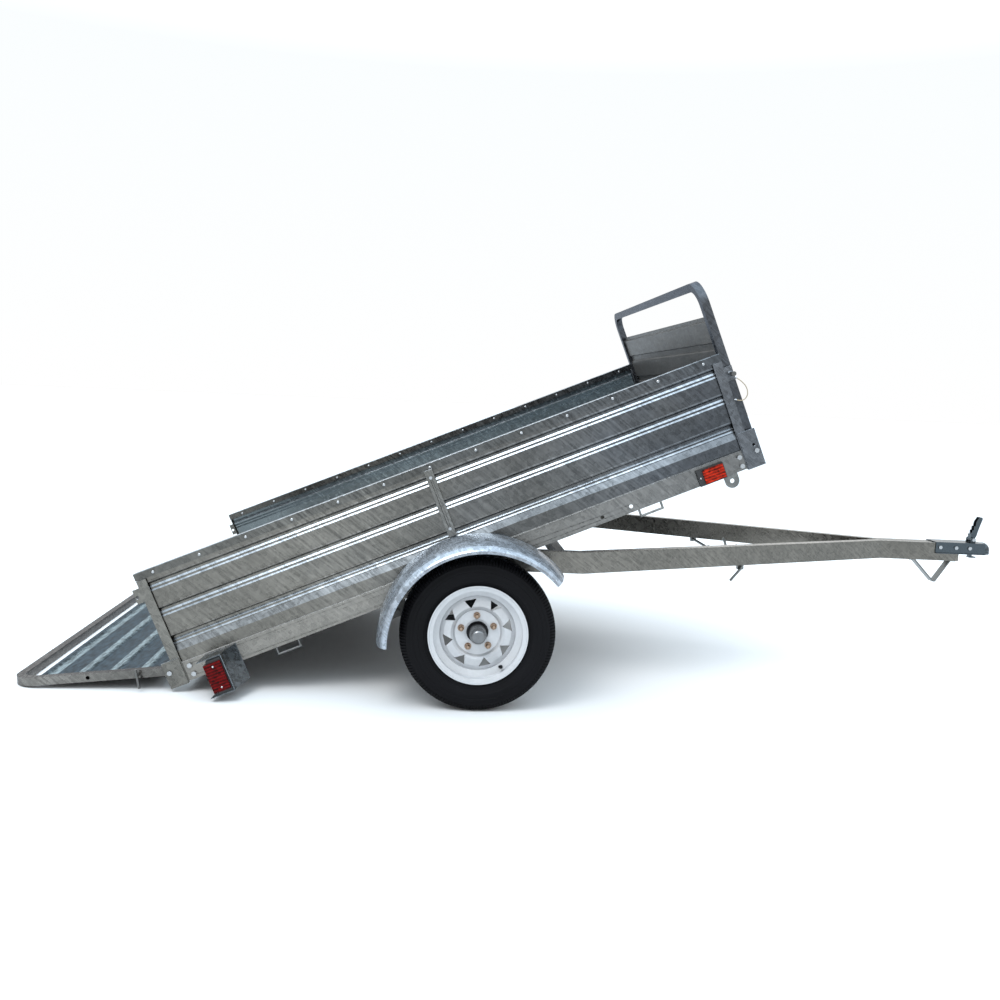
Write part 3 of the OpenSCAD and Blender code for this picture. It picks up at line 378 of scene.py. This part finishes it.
FINISH = {
    "panel": ["panel_right"],
    "cap": ["cap_rails"],
    "inner": ["panel_left"],
    "gate": ["front_gate_panel"],
    "rail": ["side_rails"],
    "tongue": ["tongue_tubes"],
    "post": ["corner_posts", "gate_hinge_plates", "stake_posts"],
    "loop": ["front_gate_frame", "rear_gate_frame"],
    "frame": ["lift_lugs", "tie_hooks", "tongue_crossbar", "foot_strap", "lock_brackets", "lock_bar",
              "lock_keeper"],
    "tail": ["tail_brackets"],
    "deck": ["floor_sheet"],
    "ramp": ["rear_gate_panel"],
    "fender": ["fender_right", "fender_left"],
    "under": ["end_crossmembers", "crossmembers", "axle_beam", "spring_hangers", "tilt_brackets"],
    "zinc": ["frame_bolts", "u_bolts", "tilt_pivot_pins", "coupler_bolts", "gate_hinge_pins"],
    "pin": ["front_pin_right", "front_pin_left", "parked_pin_right", "parked_pin_left"],
    "hub": ["hub_right", "hub_left"],
    "coupler": ["coupler_body", "coupler_lever", "ball_clamp"],
    "spring": ["springs"],
    "lug": ["lug_nuts_right", "lug_nuts_left"],
    "cable": ["pin_lanyard"],
    "tyre": ["tyre_right", "tyre_left", "valve_right", "valve_left"],
    "rim": ["rim_right", "rim_left"],
    "lamp": ["tail_housings", "marker_housings"],
    "red": ["tail_lenses"],
    "amber": ["marker_lenses"],
}

# Rounded bends and broken edges of the folded and cut pieces: radius in metres
BENDS = {
    0.0016: ["panel_right", "panel_left"],
    0.0010: ["cap_rails", "corner_posts", "gate_hinge_plates", "stake_posts", "side_rails", "tongue_tubes",
             "tail_brackets", "coupler_body", "tail_lenses", "marker_lenses", "tail_housings",
             "marker_housings", "tongue_crossbar", "lift_lugs"],
}


def round_bends():
    for radius, names in BENDS.items():
        for name in names:
            weld = NODES[name].modifiers.new("weld", "WELD")
            weld.merge_threshold = 0.00001
            bevel = NODES[name].modifiers.new("bevel", "BEVEL")
            bevel.width = radius
            bevel.segments = 2
            bevel.limit_method = "ANGLE"
            bevel.angle_limit = math.radians(14 if "panel" in name else 40)
            bevel.harden_normals = True


def paint_nodes(materials):
    for key, names in FINISH.items():
        for name in names:
            for place in NODES[name].material_slots:
                place.material = materials[key]
    left = set(NODES) - {n for names in FINISH.values() for n in names}
    assert not left, left


# ---------------------------------------------------------------- pieces

def finish_mesh(bm, name, finish, body, replaced=(), sharp=0.6):
    """Puts a built mesh in the scene, smooth but for its sharp edges, and on its body."""
    for face in bm.faces:
        face.smooth = True
    for edge in bm.edges:
        edge.smooth = len(edge.link_faces) != 2 or edge.calc_face_angle(0.0) < sharp
    mesh = bpy.data.meshes.new(name)
    bm.to_mesh(mesh)
    bm.free()
    piece = bpy.data.objects.new(name, mesh)
    mesh.materials.append(MATERIALS[finish])
    bpy.context.scene.collection.objects.link(piece)
    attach(piece, body)
    if replaced:
        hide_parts(*replaced)
    return piece


# Shoulder lugs round the tyre
LUGS = 150
# Where each lug and the notch behind it begin and end, as parts of one pitch
LUG_STEPS = (0.0, 0.56, 0.64, 0.92)
NOTCH = (0, 0, 1, 1)

# Half of the tyre's section, from the crown to the bead: radius, distance from the middle plane, and
# how deep the shoulder notches cut there, in millimetres
SECTION = [
    (260.4, 0.0, 0), (260.4, 7.0, 0), (255.4, 7.6, 0), (255.4, 10.6, 0), (260.3, 11.2, 0), (260.0, 21.0, 0),
    (255.0, 21.6, 0), (255.0, 24.8, 0), (259.7, 25.4, 0), (258.9, 33.0, 0), (257.6, 37.0, 4.2),
    (255.0, 42.5, 4.8), (250.8, 47.6, 4.8), (245.0, 51.4, 4.2), (239.6, 53.9, 3.0), (237.6, 54.6, 0),
    (235.4, 56.0, 0), (233.6, 56.2, 0), (231.6, 55.9, 0), (226.0, 57.6, 0), (219.0, 59.4, 0),
    (216.2, 59.3, 0), (215.2, 58.8, 0), (213.4, 58.8, 0), (212.4, 59.6, 0), (206.0, 59.7, 0),
    (198.6, 58.8, 0), (197.8, 58.0, 0), (190.0, 56.2, 0), (183.2, 53.8, 0), (182.0, 54.3, 0),
    (179.6, 53.6, 0), (178.8, 52.2, 0), (173.0, 49.8, 0), (169.9, 48.4, 0), (155.0, 47.2, 0),
]
# The tyre's inner wall over the rim's well, in the same terms, which closes the section
INNER_WALL = (154.4, 20.0, 0)
# How far a notch sinks into the tyre's side at most, in millimetres
SIDE_SINK = 1.6


def make_tyre(side):
    """A tyre with three ribs, notched shoulders and rings on its sidewalls."""
    joint = JOINTS["wheel_spin_" + side]
    centre = Vector(joint["pos_m"])
    half = SECTION + [INNER_WALL]
    section = half + [(r, -a, n) for r, a, n in reversed(half) if a > 0]
    bm = bmesh.new()
    rings = []
    for lug in range(LUGS):
        for step, cut in zip(LUG_STEPS, NOTCH):
            angle = 2 * math.pi * (lug + step) / LUGS
            out = Vector((math.cos(angle), 0, math.sin(angle)))
            ring = []
            for radius, across, depth in section:
                drop = cut * depth
                sink = cut * min(depth, SIDE_SINK) * (1 if across > 0 else -1)
                place = out * (radius - drop) + Vector((0, across - sink, 0))
                ring.append(bm.verts.new(centre + MM * place))
            rings.append(ring)
    for k, ring in enumerate(rings):
        after = rings[(k + 1) % len(rings)]
        for i in range(len(ring)):
            j = (i + 1) % len(ring)
            bm.faces.new((ring[i], ring[j], after[j], after[i]))
    bmesh.ops.recalc_face_normals(bm, faces=bm.faces)
    name = "tyre_tread_" + side
    return finish_mesh(bm, name, "tyre", "wheel_" + side, ["tyre_" + side], sharp=0.45)


# The front latch pin's lanyard: a 3 mm steel cable from the pin's head, out in a loop and back to the
# corner post. Points in the bed's frame, in millimetres, as the CAD part has them.
CABLE_D = 0.003
CABLE_PATH = [
    (1113, -808, 489), (1116, -808, 485), (1121, -808, 479), (1127, -808, 471), (1132, -808, 462),
    (1137, -807, 451), (1140, -805, 439), (1140, -803, 428), (1138, -800, 418), (1133, -796, 410),
    (1127, -792, 405), (1120, -788, 403), (1113, -785, 404), (1107, -782, 407), (1101, -779, 411),
    (1096, -776.5, 414),
]


def smooth_route(points, steps=4):
    """The points, with a Catmull-Rom curve's points between them."""
    last = len(points) - 1
    route = []
    for i in range(last):
        a, b, c, d = (points[min(max(i + k, 0), last)] for k in (-1, 0, 1, 2))
        for step in range(steps):
            t = step / steps
            route.append(0.5 * (2 * b + (c - a) * t + (2 * a - 5 * b + 4 * c - d) * t * t
                                + (3 * b - a - 3 * c + d) * t ** 3))
    return route + [points[-1]]


def lathe(bm, base, axis, profile, sides=16):
    """Turns a profile of (radius, height), in metres, about an axis from base; a radius of 0 closes it."""
    axis = axis.normalized()
    side = axis.orthogonal().normalized()
    other = axis.cross(side)
    rings = []
    for radius, height in profile:
        centre = base + axis * height
        turns = [2 * math.pi * k / sides for k in range(sides if radius else 1)]
        rings.append([bm.verts.new(centre + radius * (side * math.cos(a) + other * math.sin(a)))
                      for a in turns])
    for low, high in zip(rings, rings[1:]):
        for k in range(sides):
            j = (k + 1) % sides
            corners = [low[k % len(low)], low[j % len(low)], high[j % len(high)], high[k % len(high)]]
            bm.faces.new(list(dict.fromkeys(corners)))


def make_lanyard():
    route = smooth_route([in_bed(*p) for p in CABLE_PATH])
    curve = bpy.data.curves.new("pin_cable", "CURVE")
    curve.dimensions = "3D"
    curve.bevel_depth = CABLE_D / 2
    curve.bevel_resolution = 3
    curve.use_fill_caps = True
    spline = curve.splines.new("POLY")
    spline.points.add(len(route) - 1)
    for point, place in zip(spline.points, route):
        point.co = (*place, 1.0)
    cable = bpy.data.objects.new("pin_cable", curve)
    curve.materials.append(MATERIALS["cable"])
    bpy.context.scene.collection.objects.link(cable)
    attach(cable, "bed")
    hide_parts("pin_lanyard")

    bm = bmesh.new()
    sleeve = [(0.0, 0.0), (0.0022, 0.0), (0.0026, 0.0008), (0.0026, 0.0078), (0.0020, 0.0092), (0.0, 0.0092)]
    lathe(bm, route[0], route[1] - route[0], sleeve)
    lathe(bm, route[-1], route[-2] - route[-1], sleeve)
    bmesh.ops.recalc_face_normals(bm, faces=bm.faces)
    ferrules = finish_mesh(bm, "pin_cable_ferrules", "zinc", "bed")


# Pan heads on the lamps' lenses: place along the bed and above the axle, in the bed's frame
TAIL_SCREWS = [(-852, 209), (-850, 135)]
MARKER_SCREWS = [(899, 199), (978, 181)]


def make_lamp_screws():
    """Screws that hold the lenses, each a low dome with a dished slot."""
    bm = bmesh.new()
    head = [(0.0036, -0.0004), (0.0036, 0.0008), (0.0030, 0.0018), (0.0018, 0.0023), (0.0013, 0.0016),
            (0.0, 0.0014)]
    for screws, node in ((TAIL_SCREWS, "tail_lenses"), (MARKER_SCREWS, "marker_housings")):
        low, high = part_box(node)
        for side, y in ((-1, low.y), (1, high.y)):
            for u, w in screws:
                place = in_bed(u, 0, w)
                place.y = y
                lathe(bm, place, Vector((0, side, 0)), head)
    bmesh.ops.recalc_face_normals(bm, faces=bm.faces)
    finish_mesh(bm, "lamp_screws", "zinc", "bed", sharp=1.2)


# Rivets through the cap rails into the panels, in the bed's frame, in millimetres: the first one's place
# along the rail, their pitch, and their height above the axle
RIVETS = 13
RIVET_FIRST = -945
RIVET_PITCH = 165
RIVET_W = 563
# The cap rails' depth across, in metres
CAP_DEPTH = 0.034


def make_rivets():
    """Domed rivet heads on the inner and the outer face of both cap rails."""
    bm = bmesh.new()
    head = [(0.0052, -0.0003), (0.0050, 0.0010), (0.0040, 0.0019), (0.0022, 0.0025), (0.0, 0.0027)]
    low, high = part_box("cap_rails")
    for side, edge in ((-1, low.y), (1, high.y)):
        for k in range(RIVETS):
            for y, face in ((edge, side), (edge - side * CAP_DEPTH, -side)):
                place = in_bed(RIVET_FIRST + k * RIVET_PITCH, 0, RIVET_W)
                place.y = y
                lathe(bm, place, Vector((0, face, 0)), head, sides=12)
    bmesh.ops.recalc_face_normals(bm, faces=bm.faces)
    finish_mesh(bm, "cap_rivets", "zinc", "bed", sharp=1.2)


def make_pieces():
    for side in ("right", "left"):
        make_tyre(side)
    make_lanyard()
    make_lamp_screws()
    make_rivets()


make_camera()
make_studio()
MATERIALS = make_materials()
paint_nodes(MATERIALS)
round_bends()
make_pieces()
